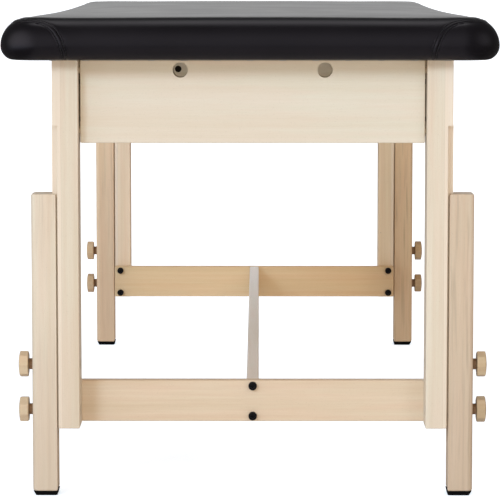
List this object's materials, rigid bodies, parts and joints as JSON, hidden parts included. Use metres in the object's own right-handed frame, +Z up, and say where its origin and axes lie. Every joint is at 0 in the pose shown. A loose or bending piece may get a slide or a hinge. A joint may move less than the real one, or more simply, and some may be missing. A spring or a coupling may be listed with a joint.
{
  "type": "massage table",
  "caption": "Stationary massage table with a padded black top on a wooden frame, telescoping legs clamped by hand knobs, and holes in the head apron for a face rest.",
  "frame": {"origin": "on the floor under the middle of the top", "axes": "+X to the right seen from the head end, +Y from the head end to the foot end, +Z up"},
  "size_m": [0.762, 1.854, 0.7343],
  "materials": {
    "upholstery": "satin",
    "foam": "matte",
    "plywood": "matte",
    "lacquered_wood": "satin",
    "frame_wood": "matte",
    "knob_wood": "satin",
    "collar_wood": "satin",
    "foot_rubber": "matte",
    "black_steel": "satin",
    "plated_steel": "satin"
  },
  "bodies": {
    "frame": {"upholstery_cover": "upholstery", "comfort_foam": "foam", "base_foam": "foam", "deck_panel": "plywood", "head_apron": "lacquered_wood", "foot_apron": "lacquered_wood", "left_side_apron": "lacquered_wood", "right_side_apron": "lacquered_wood", "head_cross_rail": "lacquered_wood", "foot_cross_rail": "lacquered_wood", "centre_stretcher": "lacquered_wood", "upper_leg_head_left": "lacquered_wood", "upper_leg_head_right": "lacquered_wood", "upper_leg_foot_left": "lacquered_wood", "upper_leg_foot_right": "lacquered_wood", "deck_bearer_head": "frame_wood", "deck_bearer_middle": "frame_wood", "deck_bearer_foot": "frame_wood", "left_face_rest_socket": "frame_wood", "right_face_rest_socket": "frame_wood", "corner_blocks": "frame_wood", "frame_dowels": "frame_wood", "rail_bolts": "black_steel", "stretcher_bolts": "black_steel", "corner_bolts": "black_steel", "clamp_bolts": "plated_steel", "rail_inserts": "plated_steel", "barrel_nuts": "plated_steel", "corner_screws": "plated_steel", "deck_screws": "plated_steel"},
    "leg_head_left": {"leg_extension_head_left": "lacquered_wood", "foot_pad_head_left": "foot_rubber", "foot_screw_head_left": "plated_steel"},
    "leg_head_right": {"leg_extension_head_right": "lacquered_wood", "foot_pad_head_right": "foot_rubber", "foot_screw_head_right": "plated_steel"},
    "leg_foot_left": {"leg_extension_foot_left": "lacquered_wood", "foot_pad_foot_left": "foot_rubber", "foot_screw_foot_left": "plated_steel"},
    "leg_foot_right": {"leg_extension_foot_right": "lacquered_wood", "foot_pad_foot_right": "foot_rubber", "foot_screw_foot_right": "plated_steel"},
    "collar_head_left_lower": {"knob_collar_head_left_lower": "collar_wood"},
    "knob_head_left_lower": {"clamp_knob_head_left_lower": "knob_wood"},
    "collar_head_left_upper": {"knob_collar_head_left_upper": "collar_wood"},
    "knob_head_left_upper": {"clamp_knob_head_left_upper": "knob_wood"},
    "collar_head_right_lower": {"knob_collar_head_right_lower": "collar_wood"},
    "knob_head_right_lower": {"clamp_knob_head_right_lower": "knob_wood"},
    "collar_head_right_upper": {"knob_collar_head_right_upper": "collar_wood"},
    "knob_head_right_upper": {"clamp_knob_head_right_upper": "knob_wood"},
    "collar_foot_left_lower": {"knob_collar_foot_left_lower": "collar_wood"},
    "knob_foot_left_lower": {"clamp_knob_foot_left_lower": "knob_wood"},
    "collar_foot_left_upper": {"knob_collar_foot_left_upper": "collar_wood"},
    "knob_foot_left_upper": {"clamp_knob_foot_left_upper": "knob_wood"},
    "collar_foot_right_lower": {"knob_collar_foot_right_lower": "collar_wood"},
    "knob_foot_right_lower": {"clamp_knob_foot_right_lower": "knob_wood"},
    "collar_foot_right_upper": {"knob_collar_foot_right_upper": "collar_wood"},
    "knob_foot_right_upper": {"clamp_knob_foot_right_upper": "knob_wood"}
  },
  "joints": [
    {"name": "leg_head_left_slide", "type": "slide", "parent": "frame", "child": "leg_head_left", "axis": [0, 0, -1], "range_m": [-0.1, 0.15]},
    {"name": "leg_head_right_slide", "type": "slide", "parent": "frame", "child": "leg_head_right", "axis": [0, 0, -1], "range_m": [-0.1, 0.15]},
    {"name": "leg_foot_left_slide", "type": "slide", "parent": "frame", "child": "leg_foot_left", "axis": [0, 0, -1], "range_m": [-0.1, 0.15]},
    {"name": "leg_foot_right_slide", "type": "slide", "parent": "frame", "child": "leg_foot_right", "axis": [0, 0, -1], "range_m": [-0.1, 0.15]},
    {"name": "collar_head_left_lower_slide", "type": "slide", "parent": "frame", "child": "collar_head_left_lower", "axis": [-1, 0, 0], "range_m": [0, 0.00375]},
    {"name": "knob_head_left_lower_turn", "type": "hinge", "parent": "collar_head_left_lower", "child": "knob_head_left_lower", "pos_m": [-0.344, -0.8555, 0.1315], "axis": [-1, 0, 0], "range_deg": [0, 1080]},
    {"name": "collar_head_left_upper_slide", "type": "slide", "parent": "frame", "child": "collar_head_left_upper", "axis": [-1, 0, 0], "range_m": [0, 0.00375]},
    {"name": "knob_head_left_upper_turn", "type": "hinge", "parent": "collar_head_left_upper", "child": "knob_head_left_upper", "pos_m": [-0.344, -0.8555, 0.2015], "axis": [-1, 0, 0], "range_deg": [0, 1080]},
    {"name": "collar_head_right_lower_slide", "type": "slide", "parent": "frame", "child": "collar_head_right_lower", "axis": [1, 0, 0], "range_m": [0, 0.00375]},
    {"name": "knob_head_right_lower_turn", "type": "hinge", "parent": "collar_head_right_lower", "child": "knob_head_right_lower", "pos_m": [0.344, -0.8555, 0.1315], "axis": [1, 0, 0], "range_deg": [0, 1080]},
    {"name": "collar_head_right_upper_slide", "type": "slide", "parent": "frame", "child": "collar_head_right_upper", "axis": [1, 0, 0], "range_m": [0, 0.00375]},
    {"name": "knob_head_right_upper_turn", "type": "hinge", "parent": "collar_head_right_upper", "child": "knob_head_right_upper", "pos_m": [0.344, -0.8555, 0.2015], "axis": [1, 0, 0], "range_deg": [0, 1080]},
    {"name": "collar_foot_left_lower_slide", "type": "slide", "parent": "frame", "child": "collar_foot_left_lower", "axis": [-1, 0, 0], "range_m": [0, 0.00375]},
    {"name": "knob_foot_left_lower_turn", "type": "hinge", "parent": "collar_foot_left_lower", "child": "knob_foot_left_lower", "pos_m": [-0.344, 0.8555, 0.1315], "axis": [-1, 0, 0], "range_deg": [0, 1080]},
    {"name": "collar_foot_left_upper_slide", "type": "slide", "parent": "frame", "child": "collar_foot_left_upper", "axis": [-1, 0, 0], "range_m": [0, 0.00375]},
    {"name": "knob_foot_left_upper_turn", "type": "hinge", "parent": "collar_foot_left_upper", "child": "knob_foot_left_upper", "pos_m": [-0.344, 0.8555, 0.2015], "axis": [-1, 0, 0], "range_deg": [0, 1080]},
    {"name": "collar_foot_right_lower_slide", "type": "slide", "parent": "frame", "child": "collar_foot_right_lower", "axis": [1, 0, 0], "range_m": [0, 0.00375]},
    {"name": "knob_foot_right_lower_turn", "type": "hinge", "parent": "collar_foot_right_lower", "child": "knob_foot_right_lower", "pos_m": [0.344, 0.8555, 0.1315], "axis": [1, 0, 0], "range_deg": [0, 1080]},
    {"name": "collar_foot_right_upper_slide", "type": "slide", "parent": "frame", "child": "collar_foot_right_upper", "axis": [1, 0, 0], "range_m": [0, 0.00375]},
    {"name": "knob_foot_right_upper_turn", "type": "hinge", "parent": "collar_foot_right_upper", "child": "knob_foot_right_upper", "pos_m": [0.344, 0.8555, 0.2015], "axis": [1, 0, 0], "range_deg": [0, 1080]}
  ],
  "couplings": [
    {"joint": "knob_head_left_lower_turn", "follows": "collar_head_left_lower_slide", "rad_per_m": 5026.5},
    {"joint": "knob_head_left_upper_turn", "follows": "collar_head_left_upper_slide", "rad_per_m": 5026.5},
    {"joint": "knob_head_right_lower_turn", "follows": "collar_head_right_lower_slide", "rad_per_m": 5026.5},
    {"joint": "knob_head_right_upper_turn", "follows": "collar_head_right_upper_slide", "rad_per_m": 5026.5},
    {"joint": "knob_foot_left_lower_turn", "follows": "collar_foot_left_lower_slide", "rad_per_m": 5026.5},
    {"joint": "knob_foot_left_upper_turn", "follows": "collar_foot_left_upper_slide", "rad_per_m": 5026.5},
    {"joint": "knob_foot_right_lower_turn", "follows": "collar_foot_right_lower_slide", "rad_per_m": 5026.5},
    {"joint": "knob_foot_right_upper_turn", "follows": "collar_foot_right_upper_slide", "rad_per_m": 5026.5}
  ]
}
